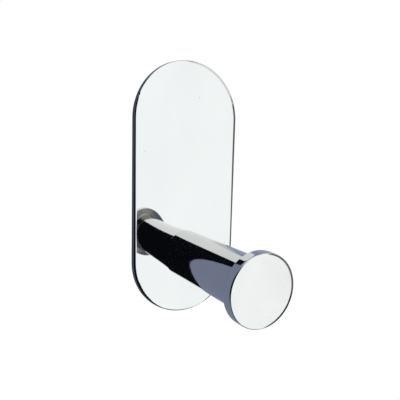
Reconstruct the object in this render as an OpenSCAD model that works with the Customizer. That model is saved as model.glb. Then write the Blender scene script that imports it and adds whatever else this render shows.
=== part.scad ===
// Adhesive wall hook: a polished steel back plate on a foam pad,
// with a turned steel peg that one countersunk screw holds from behind.
// The wall is the plane y = 0, the peg points along -Y and +Z is up.

/* [Back plate] */
// Width of the plate, also the diameter of its round ends
plate_w = 30; // [24:0.5:45]
// Height of the plate over both round ends
plate_h = 66.9; // [60:0.1:110]
// Thickness of the plate
plate_t = 1.5; // [1.5:0.1:5]
// Radius of the front edge
plate_front_r = 0.15; // [0.1:0.05:0.5]
// Radius of the deburred back edge
plate_back_r = 0.15; // [0.05:0.05:0.5]

/* [Polish] */
// Radius of the gentle roll-off that polishing leaves on both sides of a front edge
polish_r = 2.4; // [1:0.1:3]
// Slope at which the roll-off runs into the edge
polish_slope = 15; // [5:1:18]

/* [Adhesive pad] */
// Thickness of the foam pad
pad_t = 1; // [0.5:0.1:2.5]
// How far the pad's outline stays inside the plate's outline
pad_inset = 0.8; // [0.3:0.1:3]

/* [Peg] */
// Height of the peg's axis above the lower end of the plate
peg_rise = 16.2; // [12:0.1:30]
// Reach from the plate's front face to the face of the peg's head
peg_reach = 34.3; // [22:0.1:60]
// Diameter of the shaft
shaft_d = 12.4; // [9:0.1:14]
// Diameter of the head
head_d = 16.6; // [15:0.1:26]
// Thickness of the head
head_t = 2.8; // [1.5:0.1:6]
// Radius of the head's front edge
head_front_r = 0.15; // [0.1:0.05:0.5]
// Radius of the head's back edge
head_back_r = 0.2; // [0.05:0.05:0.6]
// Radius of the corner between the shaft and the back of the head
neck_r = 0.4; // [0.1:0.05:0.8]
// Chamfer round the foot of the shaft
foot_chamfer = 0.05; // [0.03:0.01:0.3]

/* [Fixing screw] */
// Diameter of the thread
screw_d = 3; // [2.5:0.5:4]
// Length of the screw over its flat head
screw_len = 8; // [6:1:12]
// Diameter of the countersunk head
screw_head_d = 5.5; // [5.2:0.1:5.6]
// Height of the straight rim round the head
screw_rim_h = 0.15; // [0.1:0.05:0.15]
// Hex key size across its flats
hex_af = 2; // [1.5:0.5:2.5]
// Depth of the hex socket
hex_depth = 1.1; // [0.8:0.1:1.3]
// Chamfer at the tip of the thread
tip_chamfer = 0.4; // [0.2:0.1:0.6]

/* [Fits] */
// Gap round the screw in the plate's hole
hole_clearance = 0.2; // [0.1:0.05:0.4]
// Gap between the screw's head and its countersink
seat_clearance = 0.05; // [0.02:0.01:0.1]
// Gap between the screw's thread and the tapped hole
thread_clearance = 0.04; // [0.02:0.01:0.1]
// Depth of the screw's head below the back of the plate
head_sink = 0.1; // [0.05:0.05:0.2]
// Length of tapped hole left past the tip of the screw
tap_spare = 1.5; // [0.5:0.1:3]
// Length of core drill hole left past the tapped length
drill_spare = 1.8; // [0.5:0.1:3]
// Chamfer at the mouth of the tapped hole
mouth_chamfer = 0.4; // [0.2:0.1:0.6]

/* [Hidden] */
$fn = 96;
// Length by which every cut runs past the face that it opens
overrun = 1;
// Core drill of the thread as a share of the thread's diameter
core_drill_share = 0.833;
// Half of the full point angle of a twist drill
drill_half_angle = 59;

// Depths out from the wall
plate_back = pad_t;
plate_front = plate_back + plate_t;
screw_back = plate_back + head_sink;

// Height of the peg's axis from the middle of the plate
peg_z = peg_rise - plate_h / 2;
shaft_r = shaft_d / 2;
head_r = head_d / 2;
head_back = peg_reach - head_t;

screw_r = screw_d / 2;
screw_head_r = screw_head_d / 2;
screw_cone_h = screw_head_r - screw_r;
screw_in_peg = screw_back + screw_len - plate_front;

hole_r = screw_r + hole_clearance;
sink_mouth_r = screw_head_r + seat_clearance + screw_rim_h + head_sink;
sink_depth = sink_mouth_r - hole_r;

tap_r = screw_r + thread_clearance;
tap_depth = screw_in_peg + tap_spare;
drill_r = screw_r * core_drill_share;
drill_depth = tap_depth + drill_spare;
drill_point_h = drill_r / tan(drill_half_angle);

// Turns the working frame onto the wall: its Z comes out of the wall and its Y points up
module on_wall() {
    rotate([90, 0, 0])
        children();
}

// What a round edge of radius r takes off a corner at the origin, whose material lies at -x and -y
module corner_waste(r) {
    difference() {
        translate([-r, -r])
            square(r + overrun);
        translate([-r, -r])
            circle(r);
    }
}

// What a polished edge takes off the same corner: the face and the side both roll off gently
// and a radius r joins them
module polished_edge_waste(r) {
    meet = polish_r * (cos(polish_slope) - 1) - r * (cos(polish_slope) - sin(polish_slope));
    roll_w = polish_r * sin(polish_slope) - meet;
    edge_mid = meet - r * sin(polish_slope);
    difference() {
        translate([-roll_w, -roll_w])
            square(roll_w + overrun);
        translate([-roll_w, -polish_r])
            circle(polish_r);
    }
    difference() {
        translate([-roll_w, -roll_w])
            square(roll_w + overrun);
        translate([-polish_r, -roll_w])
            circle(polish_r);
    }
    difference() {
        translate([meet, meet])
            square(overrun - meet);
        translate([edge_mid, edge_mid])
            circle(r);
    }
}

// What a fillet of radius r adds to an inside corner at the origin, with open space at +x and -y
module corner_fill(r) {
    difference() {
        translate([0, -r])
            square(r);
        translate([r, -r])
            circle(r);
    }
}

// One side of a slab's cross-section, from its middle out to its edge
module slab_half_profile(half_w, t, front_r, back_r) {
    difference() {
        square([half_w, t]);
        if (front_r > 0)
            translate([half_w, t])
                polished_edge_waste(front_r);
        if (back_r > 0)
            translate([half_w, 0])
                mirror([0, 1])
                    corner_waste(back_r);
    }
}

// A slab with straight sides and half-round ends, standing on z = 0
module round_ended_slab(w, h, t, front_r, back_r) {
    half_w = w / 2;
    half_run = (h - w) / 2;
    translate([0, half_run, 0])
        rotate([90, 0, 0])
            linear_extrude(height = half_run + half_run) {
                slab_half_profile(half_w, t, front_r, back_r);
                mirror([1, 0])
                    slab_half_profile(half_w, t, front_r, back_r);
            }
    for (turn = [0, 180])
        rotate([0, 0, turn])
            translate([0, half_run, 0])
                rotate_extrude(angle = 180)
                    slab_half_profile(half_w, t, front_r, back_r);
}

// Double-sided foam pad, die-cut a little smaller than the plate
module adhesive_pad() {
    color("dimgray")
        on_wall()
            round_ended_slab(plate_w - 2 * pad_inset, plate_h - 2 * pad_inset, pad_t, 0, 0);
}

// Clearance hole for the screw, countersunk from the back of the plate at z = 0
module countersunk_hole() {
    cylinder(r = hole_r, h = plate_t + overrun);
    cylinder(r1 = sink_mouth_r, r2 = hole_r, h = sink_depth);
    translate([0, 0, -overrun])
        cylinder(r = sink_mouth_r, h = overrun);
}

// Polished plate with a rolled-off front edge
module back_plate() {
    color("lightsteelblue")
        on_wall()
            translate([0, 0, plate_back])
                difference() {
                    round_ended_slab(plate_w, plate_h, plate_t, plate_front_r, plate_back_r);
                    translate([0, peg_z, 0])
                        countersunk_hole();
                }
}

// Countersunk socket screw that pulls the peg against the plate
module fixing_screw() {
    shank_end = screw_len - tip_chamfer;
    cone_end = screw_rim_h + screw_cone_h;
    color("gold")
        on_wall()
            translate([0, peg_z, screw_back])
                difference() {
                    rotate_extrude()
                        polygon([
                            [0, 0],
                            [screw_head_r, 0],
                            [screw_head_r, screw_rim_h],
                            [screw_r, cone_end],
                            [screw_r, shank_end],
                            [screw_r - tip_chamfer, screw_len],
                            [0, screw_len]
                        ]);
                    translate([0, 0, -overrun])
                        cylinder(d = hex_af / cos(30), h = hex_depth + overrun, $fn = 6);
                }
}

// Outline of the turned peg on one side of its axis, foot at y = 0
module peg_outline() {
    polygon([
        [0, 0],
        [shaft_r - foot_chamfer, 0],
        [shaft_r, foot_chamfer],
        [shaft_r, head_back],
        [0, head_back]
    ]);
    translate([shaft_r, head_back])
        corner_fill(neck_r);
    translate([0, head_back])
        slab_half_profile(head_r, head_t, head_front_r, head_back_r);
}

// Blind tapped hole in the foot of the peg, with the core drill's point at its end
module tapped_hole_outline() {
    polygon([
        [0, -overrun],
        [tap_r + mouth_chamfer + overrun, -overrun],
        [tap_r, mouth_chamfer],
        [tap_r, tap_depth],
        [drill_r, tap_depth],
        [drill_r, drill_depth],
        [0, drill_depth + drill_point_h]
    ]);
}

// Peg turned from one bar: shaft, flange head and tapped foot
module peg() {
    color("silver")
        on_wall()
            translate([0, peg_z, plate_front])
                rotate_extrude()
                    difference() {
                        peg_outline();
                        tapped_hole_outline();
                    }
}

adhesive_pad();
back_plate();
fixing_screw();
peg();
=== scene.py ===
import math

import bmesh
import bpy
from mathutils import Matrix, Vector, noise


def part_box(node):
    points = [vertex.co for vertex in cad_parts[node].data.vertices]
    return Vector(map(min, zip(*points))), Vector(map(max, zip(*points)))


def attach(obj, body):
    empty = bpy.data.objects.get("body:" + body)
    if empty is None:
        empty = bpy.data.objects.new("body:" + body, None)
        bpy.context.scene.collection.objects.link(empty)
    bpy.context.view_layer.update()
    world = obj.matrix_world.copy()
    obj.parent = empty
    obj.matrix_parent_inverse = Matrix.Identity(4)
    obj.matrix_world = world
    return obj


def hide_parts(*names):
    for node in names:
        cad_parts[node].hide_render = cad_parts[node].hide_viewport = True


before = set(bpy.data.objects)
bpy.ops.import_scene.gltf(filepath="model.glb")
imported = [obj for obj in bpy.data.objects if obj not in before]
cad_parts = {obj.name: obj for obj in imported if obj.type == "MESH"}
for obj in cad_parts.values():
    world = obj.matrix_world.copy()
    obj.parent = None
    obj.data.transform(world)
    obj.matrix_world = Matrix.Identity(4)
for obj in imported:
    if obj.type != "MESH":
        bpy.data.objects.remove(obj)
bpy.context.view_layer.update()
MM = 0.001


# Back plate: stainless steel plate cut to a round-ended outline, then mirror-polished on its face.
# The buffing wheel rounds the front edge, draws the face down a little along the two long sides and leaves
# it a hair higher round the peg's foot; the cut sides stay satin, with a near-black colour that is painted
# shade. The peg's screw passes through it.
plate_low, plate_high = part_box("back_plate")
plate_front = plate_low.y
polish_ends = plate_front + 0.225 * MM
cut_starts = plate_front + 0.315 * MM

steel_pale = (0.700, 0.704, 0.696, 1.0)
steel_deep = (0.635, 0.640, 0.635, 1.0)
steel_pit = (0.330, 0.335, 0.345, 1.0)
# Painted shade: near-black colour for the plate's sides, standing in for the dim light they catch
side_painted_shade = (0.150, 0.155, 0.170, 1.0)

# Noise scales are in grains to the metre, and a span is the part of a noise that counts
haze_stretch = (1, 1, 0.5)
haze_scale = 90
hair_stretch = (1, 1, 0.02)
hair_scale = 9000
cut_mark_stretch = (0.15, 1, 0.15)
cut_mark_scale = 7000
fine_detail = 3
mark_depth = 0.0003 * MM
pit_spacing = 21 * MM
pit_size = 0.16 * MM

noise_span = (0.3, 0.7)
hair_span = (0.35, 0.75)
face_roughness = (0.018, 0.045)
side_roughness = (0.28, 0.45)

foot_radius = 6.2 * MM
foot_rise = 0.50 * MM
foot_rise_reach = 10.6 * MM
buffed_edge = 8 * MM
buffed_edge_drop = 0.127 * MM


def new_finish(name, metallic):
    """An empty material with one shader, and the place on the object in metres."""
    finish = bpy.data.materials.new(name)
    finish.use_nodes = True
    nodes = finish.node_tree.nodes
    shader = nodes["Principled BSDF"]
    shader.inputs["Metallic"].default_value = metallic
    place = nodes.new("ShaderNodeTexCoord").outputs["Object"]
    return finish, shader, place


def feed(finish, socket, value):
    """Gives an input a plain value, or links it to the output that feeds it."""
    if isinstance(value, bpy.types.NodeSocket):
        finish.node_tree.links.new(value, socket)
    else:
        socket.default_value = value


def add_node(finish, kind, options=None, **inputs):
    """A node with its options, and with what feeds its named inputs."""
    node = finish.node_tree.nodes.new(kind)
    for name, value in (options or {}).items():
        setattr(node, name, value)
    for name, value in inputs.items():
        feed(finish, node.inputs[name.title()], value)
    return node


def reckon(finish, operation, first, second=0.0):
    """One step of arithmetic on two numbers, each a number or a socket."""
    node = add_node(finish, "ShaderNodeMath", {"operation": operation})
    feed(finish, node.inputs[0], first)
    feed(finish, node.inputs[1], second)
    return node.outputs["Value"]


def reckon_places(finish, operation, first, second):
    """One step of arithmetic on two places, each a socket or three numbers."""
    node = add_node(finish, "ShaderNodeVectorMath", {"operation": operation})
    feed(finish, node.inputs[0], first)
    feed(finish, node.inputs[1], second)
    return node.outputs


def stretched(finish, place, scale):
    """The place on the object, stretched or squeezed along each axis."""
    return reckon_places(finish, "MULTIPLY", place, scale)["Vector"]


def distance_between(finish, place, other):
    """How far a place lies from another one."""
    return reckon_places(finish, "DISTANCE", place, other)["Value"]


def noise_on(finish, place, scale, detail=2):
    """Grey noise, about a half on average."""
    return add_node(finish, "ShaderNodeTexNoise", vector=place, scale=scale, detail=detail).outputs["Fac"]


def ramp_between(finish, value, span, to=(0, 1)):
    """A smooth step that turns one span of numbers into another."""
    node = add_node(finish, "ShaderNodeMapRange", {"interpolation_type": "SMOOTHSTEP"}, value=value)
    node.inputs["From Min"].default_value, node.inputs["From Max"].default_value = span
    node.inputs["To Min"].default_value, node.inputs["To Max"].default_value = to
    return node.outputs["Result"]


def blend_colours(finish, share, first, second):
    """A colour between two others, each a colour or a socket."""
    node = add_node(finish, "ShaderNodeMix", {"data_type": "RGBA"}, factor=share)
    # The node lists its colour inputs seventh and eighth
    feed(finish, node.inputs[6], first)
    feed(finish, node.inputs[7], second)
    return node.outputs[2]


def blend_numbers(finish, share, first, second):
    """A number between two others, each a number or a socket."""
    node = add_node(finish, "ShaderNodeMix", {"data_type": "FLOAT"}, factor=share)
    # The node lists its number inputs third and fourth
    feed(finish, node.inputs[2], first)
    feed(finish, node.inputs[3], second)
    return node.outputs[0]


def coat(finish, shader, colour, roughness):
    """Gives a shader its colour and its roughness."""
    feed(finish, shader.inputs["Base Color"], colour)
    feed(finish, shader.inputs["Roughness"], roughness)


def relief(finish, shader, height, depth, under=None):
    """Relief of a real depth in metres on the shader's surface, or on a coarser relief under it."""
    node = add_node(finish, "ShaderNodeBump", height=height, distance=depth, strength=1.0)
    if under is not None:
        feed(finish, node.inputs["Normal"], under)
    feed(finish, shader.inputs["Normal"], node.outputs["Normal"])
    return node.outputs["Normal"]


def dress(node_name, finish):
    """Gives a CAD piece its finish in the slots that it came with."""
    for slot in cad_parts[node_name].material_slots:
        slot.material = finish


plate_finish, plate_shader, plate_place = new_finish("mirror_polished_steel", 1.0)
plate_xyz = add_node(plate_finish, "ShaderNodeSeparateXYZ", vector=plate_place).outputs
plate_flat = add_node(
    plate_finish, "ShaderNodeCombineXYZ", x=plate_xyz["X"], y=plate_xyz["Z"]
).outputs["Vector"]
behind_edge = ramp_between(plate_finish, plate_xyz["Y"], (polish_ends, cut_starts))

haze_place = stretched(plate_finish, plate_place, haze_stretch)
hair_place = stretched(plate_finish, plate_place, hair_stretch)
cut_mark_place = stretched(plate_finish, plate_place, cut_mark_stretch)
plate_haze = noise_on(plate_finish, haze_place, haze_scale)
plate_hairs = noise_on(plate_finish, hair_place, hair_scale, fine_detail)
plate_cut_marks = noise_on(plate_finish, cut_mark_place, cut_mark_scale, fine_detail)
pit_distance = add_node(
    plate_finish, "ShaderNodeTexVoronoi", {"voronoi_dimensions": "2D"},
    vector=plate_flat, scale=1 / pit_spacing, randomness=1.0
).outputs["Distance"]
pit_edge = (0.5 * pit_size / pit_spacing, pit_size / pit_spacing)
plate_pits = ramp_between(plate_finish, pit_distance, pit_edge, (1, 0))

face_tone = blend_colours(plate_finish, plate_haze, steel_deep, steel_pale)
face_tone = blend_colours(plate_finish, plate_pits, face_tone, steel_pit)
face_gloss = ramp_between(plate_finish, plate_hairs, hair_span, face_roughness)
side_gloss = ramp_between(plate_finish, plate_cut_marks, noise_span, side_roughness)
# Past the polished face the colour turns near black as painted shade on the sides; their rougher gloss is
# the satin cut
coat(
    plate_finish, plate_shader,
    blend_colours(plate_finish, behind_edge, face_tone, side_painted_shade),
    blend_numbers(plate_finish, behind_edge, face_gloss, side_gloss),
)

foot_low, foot_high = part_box("peg")
foot_z = (foot_low.z + foot_high.z) / 2
from_foot = distance_between(plate_finish, plate_flat, (0, foot_z, 0))
past_foot = reckon(plate_finish, "SUBTRACT", foot_radius, from_foot)
rise_share = reckon(plate_finish, "EXPONENT", reckon(plate_finish, "DIVIDE", past_foot, foot_rise_reach))
rise = reckon(plate_finish, "MULTIPLY", rise_share, foot_rise)

from_middle = reckon(plate_finish, "ABSOLUTE", plate_xyz["X"])
into_edge = reckon(plate_finish, "SUBTRACT", from_middle, plate_high.x - buffed_edge)
edge_share = reckon(plate_finish, "MAXIMUM", reckon(plate_finish, "DIVIDE", into_edge, buffed_edge), 0.0)
drop_share = reckon(plate_finish, "MULTIPLY", edge_share, edge_share)
edge_drop = reckon(plate_finish, "MULTIPLY", drop_share, buffed_edge_drop)

face_height = reckon(plate_finish, "SUBTRACT", rise, edge_drop)
buffed_face = relief(plate_finish, plate_shader, face_height, 1.0)
plate_marks = blend_numbers(plate_finish, behind_edge, plate_hairs, plate_cut_marks)
relief(plate_finish, plate_shader, plate_marks, mark_depth, under=buffed_face)
dress("back_plate", plate_finish)


# Peg: one length of stainless bar turned to a straight shaft with a disc head, and polished in the lathe.
# Its foot is tapped and pulled flat against the plate, and the head keeps loops from sliding off.
# The tool leaves faint rings round the shaft and on the flat of the head.
peg_low, peg_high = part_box("peg")
peg_axis_z = (peg_low.z + peg_high.z) / 2
shaft_radius = foot_radius
head_thickness = 2.8 * MM
head_front = peg_low.y
head_back = head_front + head_thickness
head_flat_edge = (head_front + 0.01 * MM, head_front + 0.03 * MM)
head_back_edge = (head_back - 0.12 * MM, head_back - 0.05 * MM)
off_shaft_edge = (shaft_radius + 0.1 * MM, shaft_radius + 0.4 * MM)

bar_pale = (0.700, 0.700, 0.682, 1.0)
bar_deep = (0.615, 0.615, 0.600, 1.0)
# Painted shade: a darker, warmer colour for the head's back face, in the gap between the head and the
# plate
back_face_painted_shade = (0.38, 0.37, 0.335, 1.0)
bar_haze_scale = 160
ring_scale = 12000
shaft_roughness = (0.04, 0.075)
flat_roughness = (0.08, 0.16)
faced_roughness = (0.12, 0.18)

peg_finish, peg_shader, peg_place = new_finish("turned_polished_steel", 1.0)
peg_y = add_node(peg_finish, "ShaderNodeSeparateXYZ", vector=peg_place).outputs["Y"]
ring_radius = distance_between(peg_finish, stretched(peg_finish, peg_place, (1, 0, 1)), (0, 0, peg_axis_z))
ring_place = add_node(peg_finish, "ShaderNodeCombineXYZ", x=ring_radius, y=peg_y).outputs["Vector"]
tool_rings = noise_on(peg_finish, ring_place, ring_scale, fine_detail)
bar_haze = noise_on(peg_finish, peg_place, bar_haze_scale)

head_flat = ramp_between(peg_finish, peg_y, head_flat_edge, (1, 0))
off_shaft = ramp_between(peg_finish, ring_radius, off_shaft_edge)
near_back = ramp_between(peg_finish, peg_y, head_back_edge)
faced_and_shaded_back = reckon(peg_finish, "MULTIPLY", off_shaft, near_back)

bar_tone = blend_colours(peg_finish, bar_haze, bar_deep, bar_pale)
shaft_gloss = ramp_between(peg_finish, tool_rings, noise_span, shaft_roughness)
flat_gloss = ramp_between(peg_finish, tool_rings, noise_span, flat_roughness)
faced_gloss = ramp_between(peg_finish, tool_rings, noise_span, faced_roughness)
polished_gloss = blend_numbers(peg_finish, head_flat, shaft_gloss, flat_gloss)
# The head's back face gets a darker colour as painted shade; its rougher gloss is the faced finish
coat(
    peg_finish, peg_shader,
    blend_colours(peg_finish, faced_and_shaded_back, bar_tone, back_face_painted_shade),
    blend_numbers(peg_finish, faced_and_shaded_back, polished_gloss, faced_gloss),
)
relief(peg_finish, peg_shader, tool_rings, mark_depth)
dress("peg", peg_finish)


# Fixing screw: countersunk steel socket screw, driven in from behind the plate into the peg's foot.
# Its head lies just below the plate's back, under the pad, so it shows only when the pad comes off.
screw_pale = (0.56, 0.56, 0.54, 1.0)
screw_deep = (0.42, 0.42, 0.41, 1.0)
screw_grain_scale = 700
screw_grain_detail = 4
screw_grain_depth = 0.002 * MM
screw_roughness = (0.24, 0.38)

screw_finish, screw_shader, screw_place = new_finish("plain_screw_steel", 1.0)
screw_grain = noise_on(screw_finish, screw_place, screw_grain_scale, screw_grain_detail)
coat(
    screw_finish, screw_shader,
    blend_colours(screw_finish, screw_grain, screw_deep, screw_pale),
    ramp_between(screw_finish, screw_grain, noise_span, screw_roughness),
)
relief(screw_finish, screw_shader, screw_grain, screw_grain_depth)
dress("fixing_screw", screw_finish)


# Adhesive pad: closed-cell acrylic foam tape, sticky on both sides, die-cut a little inside the plate.
# The cut opens the cells at its edge, which swells between the two stuck faces.
pad_low, pad_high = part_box("adhesive_pad")
pad_half_w = (pad_high.x - pad_low.x) / 2
pad_half_run = (pad_high.z - pad_low.z) / 2 - pad_half_w
edge_draw_in = 0.05 * MM
cell_draw_in = 0.03 * MM
cut_cell_size = 0.35 * MM
arc_steps = 64
run_steps = 70
edge_rows = 8
face_ring_insets = (0.15, 0.4, 0.7)

foam_dark = (0.020, 0.021, 0.024, 1.0)
foam_light = (0.045, 0.047, 0.052, 1.0)
foam_cloud_scale = 350
foam_cell_scale = 4200
foam_cell_span = (0.1, 0.6)
foam_cell_depth = 0.03 * MM
foam_roughness = (0.42, 0.62)


def pad_outline(inset):
    """Points round the pad's outline, moved in by a distance, from the right side upwards."""
    radius = pad_half_w - inset
    points = []
    for end in (1, -1):
        for step in range(arc_steps):
            turn = math.pi * step / arc_steps
            points.append((end * radius * math.cos(turn), end * (pad_half_run + radius * math.sin(turn))))
        for step in range(run_steps):
            points.append((-end * radius, end * pad_half_run * (1 - 2 * step / run_steps)))
    return points


def pad_row(mesh, share):
    """One ring of points round the edge, at a share of the way from the plate to the wall."""
    swell = 1 - math.sin(math.pi * share)
    y = pad_low.y + share * (pad_high.y - pad_low.y)
    ring = []
    for x, z in pad_outline(edge_draw_in * swell):
        cells = noise.noise(Vector((x, y, z)) / cut_cell_size) * 0.5 + 0.5
        inward = Vector((-x, 0, -(z - math.copysign(min(abs(z), pad_half_run), z)))).normalized()
        ring.append(mesh.verts.new(Vector((x, y, z)) + inward * cell_draw_in * cells))
    return ring


def join_rings(mesh, first, second):
    """Quads between two rings of as many points."""
    for i in range(len(first)):
        j = (i + 1) % len(first)
        mesh.faces.new((first[i], first[j], second[j], second[i]))


def pad_face(mesh, ring, y):
    """Closes one stuck face with rings that shrink to the middle line, so the face has no long slivers."""
    for inset_share in face_ring_insets:
        inner = [mesh.verts.new((x, y, z)) for x, z in pad_outline(inset_share * pad_half_w)]
        join_rings(mesh, ring, inner)
        ring = inner
    mesh.faces.new(ring)


pad_mesh = bmesh.new()
pad_rings = [pad_row(pad_mesh, row / edge_rows) for row in range(edge_rows + 1)]
for lower, upper in zip(pad_rings, pad_rings[1:]):
    join_rings(pad_mesh, lower, upper)
pad_face(pad_mesh, pad_rings[0], pad_low.y)
pad_face(pad_mesh, pad_rings[-1], pad_high.y)
bmesh.ops.recalc_face_normals(pad_mesh, faces=pad_mesh.faces)
pad_data = bpy.data.meshes.new("foam_pad")
pad_mesh.to_mesh(pad_data)
pad_mesh.free()
foam_pad = bpy.data.objects.new("foam_pad", pad_data)
bpy.context.scene.collection.objects.link(foam_pad)

pad_finish, pad_shader, pad_place = new_finish("acrylic_foam", 0.0)
pad_cells = add_node(
    pad_finish, "ShaderNodeTexVoronoi", vector=pad_place, scale=foam_cell_scale, randomness=1.0
).outputs["Distance"]
pad_cloud = noise_on(pad_finish, pad_place, foam_cloud_scale, fine_detail)
coat(
    pad_finish, pad_shader,
    blend_colours(pad_finish, pad_cloud, foam_dark, foam_light),
    ramp_between(pad_finish, pad_cells, foam_cell_span, foam_roughness),
)
relief(pad_finish, pad_shader, pad_cells, foam_cell_depth)
pad_data.materials.append(pad_finish)
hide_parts("adhesive_pad")
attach(foam_pad, "root")


# Studio: a small plain white floor far below the hook, which hangs as it would on its wall.
# A white board leans in front to the right; past it are a grey wall and a white ceiling that slopes down.
# The rest in front is dark, and the backdrop behind the hook is blue-grey.
floor_drop = 0.9
floor_radius = 0.12
floor_corners = 128
floor_white = (0.95, 0.95, 0.95, 1.0)
board_white = (1.30, 1.34, 1.35, 1.0)
backdrop_grey = (0.225, 0.255, 0.370, 1.0)
backdrop_light = (0.38, 0.45, 0.60, 1.0)
dark_side = (0.004, 0.005, 0.008, 1.0)
right_wall = (0.15, 0.155, 0.167, 1.0)
ceiling_white = (0.9, 0.92, 0.92, 1.0)
plain_white = (1.0, 1.0, 1.0, 1.0)

# Soft straight borders in the room: the direction that crosses one, where it starts and where it ends
front_border = ((-0.41, -1, 0), -0.30, -0.15)
board_left = ((1, 0, 0.08), 0.015, 0.035)
board_lower_left = ((1, 0, 0.35), 0.00, 0.04)
board_right = ((-1, 0, -0.4), -0.69, -0.63)
board_lower_right = ((-1, 0, 0.3), -0.81, -0.77)
board_foot = ((0, 0, 1), -0.705, -0.625)
wall_left = ((1, 0, 0), 0.64, 0.74)
wall_foot = ((0, 0, 1), -0.42, -0.30)
slope_left = ((1, 0, 0), 0.45, 0.55)
slope_foot = ((-0.8, 0, 1), -0.49, -0.42)
ceiling_edge = ((0, 0, 1), 0.72, 0.9)
backdrop_fade = ((1, 0, 0), 0.2, 0.8)

floor_mesh = bmesh.new()
bmesh.ops.create_circle(floor_mesh, cap_ends=True, segments=floor_corners, radius=floor_radius)
floor_data = bpy.data.meshes.new("floor")
floor_mesh.to_mesh(floor_data)
floor_mesh.free()
floor = bpy.data.objects.new("floor", floor_data)
floor.location = (0, 0, plate_low.z - floor_drop)
bpy.context.scene.collection.objects.link(floor)
floor_finish, floor_shader, _ = new_finish("white_floor", 0.0)
floor_shader.inputs["Base Color"].default_value = floor_white
floor_shader.inputs["Emission Color"].default_value = floor_white
floor_shader.inputs["Emission Strength"].default_value = 1.0
floor_data.materials.append(floor_finish)

room = bpy.data.worlds.new("studio_room")
bpy.context.scene.world = room
room.use_nodes = True
room_out = room.node_tree.nodes["Background"]
towards = add_node(room, "ShaderNodeTexCoord").outputs["Generated"]


def past(*borders):
    """The share of the room that lies past all of these borders."""
    product = 1.0
    for direction, start, end in borders:
        along = reckon_places(room, "DOT_PRODUCT", towards, direction)["Value"]
        product = reckon(room, "MULTIPLY", product, ramp_between(room, along, (start, end)))
    return product


board = past(front_border, board_left, board_lower_left, board_right, board_lower_right, board_foot)
room_colour = blend_colours(room, past(backdrop_fade), backdrop_grey, backdrop_light)
room_colour = blend_colours(room, past(front_border), room_colour, dark_side)
room_colour = blend_colours(room, past(front_border, wall_left, wall_foot), room_colour, right_wall)
room_colour = blend_colours(room, past(front_border, slope_left, slope_foot), room_colour, ceiling_white)
room_colour = blend_colours(room, board, room_colour, board_white)
room_colour = blend_colours(room, past(ceiling_edge), room_colour, ceiling_white)
seen_directly = add_node(room, "ShaderNodeLightPath").outputs["Is Camera Ray"]
feed(room, room_out.inputs["Color"], blend_colours(room, seen_directly, room_colour, plain_white))


# Camera: close up, a little above the hook and well to its left, with a normal lens for the distance.
# It is rolled a little to one side, as a camera held in the hand is.
camera_azimuth = math.radians(-30.282)
camera_elevation = math.radians(8.206)
camera_roll = math.radians(1.506)
camera_distance = 124.964 * MM
camera_lens = 41.441
camera_sensor = 36
camera_near = 1 * MM
aim = Vector((4.152 * MM, plate_front, -2.889 * MM))

back = Vector((
    math.sin(camera_azimuth) * math.cos(camera_elevation),
    -math.cos(camera_azimuth) * math.cos(camera_elevation),
    math.sin(camera_elevation),
))
level_right = (-back).cross(Vector((0, 0, 1))).normalized()
level_up = level_right.cross(-back)
right = math.cos(camera_roll) * level_right + math.sin(camera_roll) * level_up
up = math.cos(camera_roll) * level_up - math.sin(camera_roll) * level_right
camera_turn = Matrix((right, up, back)).transposed().to_4x4()

camera_data = bpy.data.cameras.new("camera")
camera_data.sensor_width = camera_sensor
camera_data.lens = camera_lens
camera_data.clip_start = camera_near
camera = bpy.data.objects.new("camera", camera_data)
camera.matrix_world = Matrix.Translation(aim + back * camera_distance) @ camera_turn
bpy.context.scene.collection.objects.link(camera)
bpy.context.scene.camera = camera
bpy.context.scene.view_settings.view_transform = "Standard"
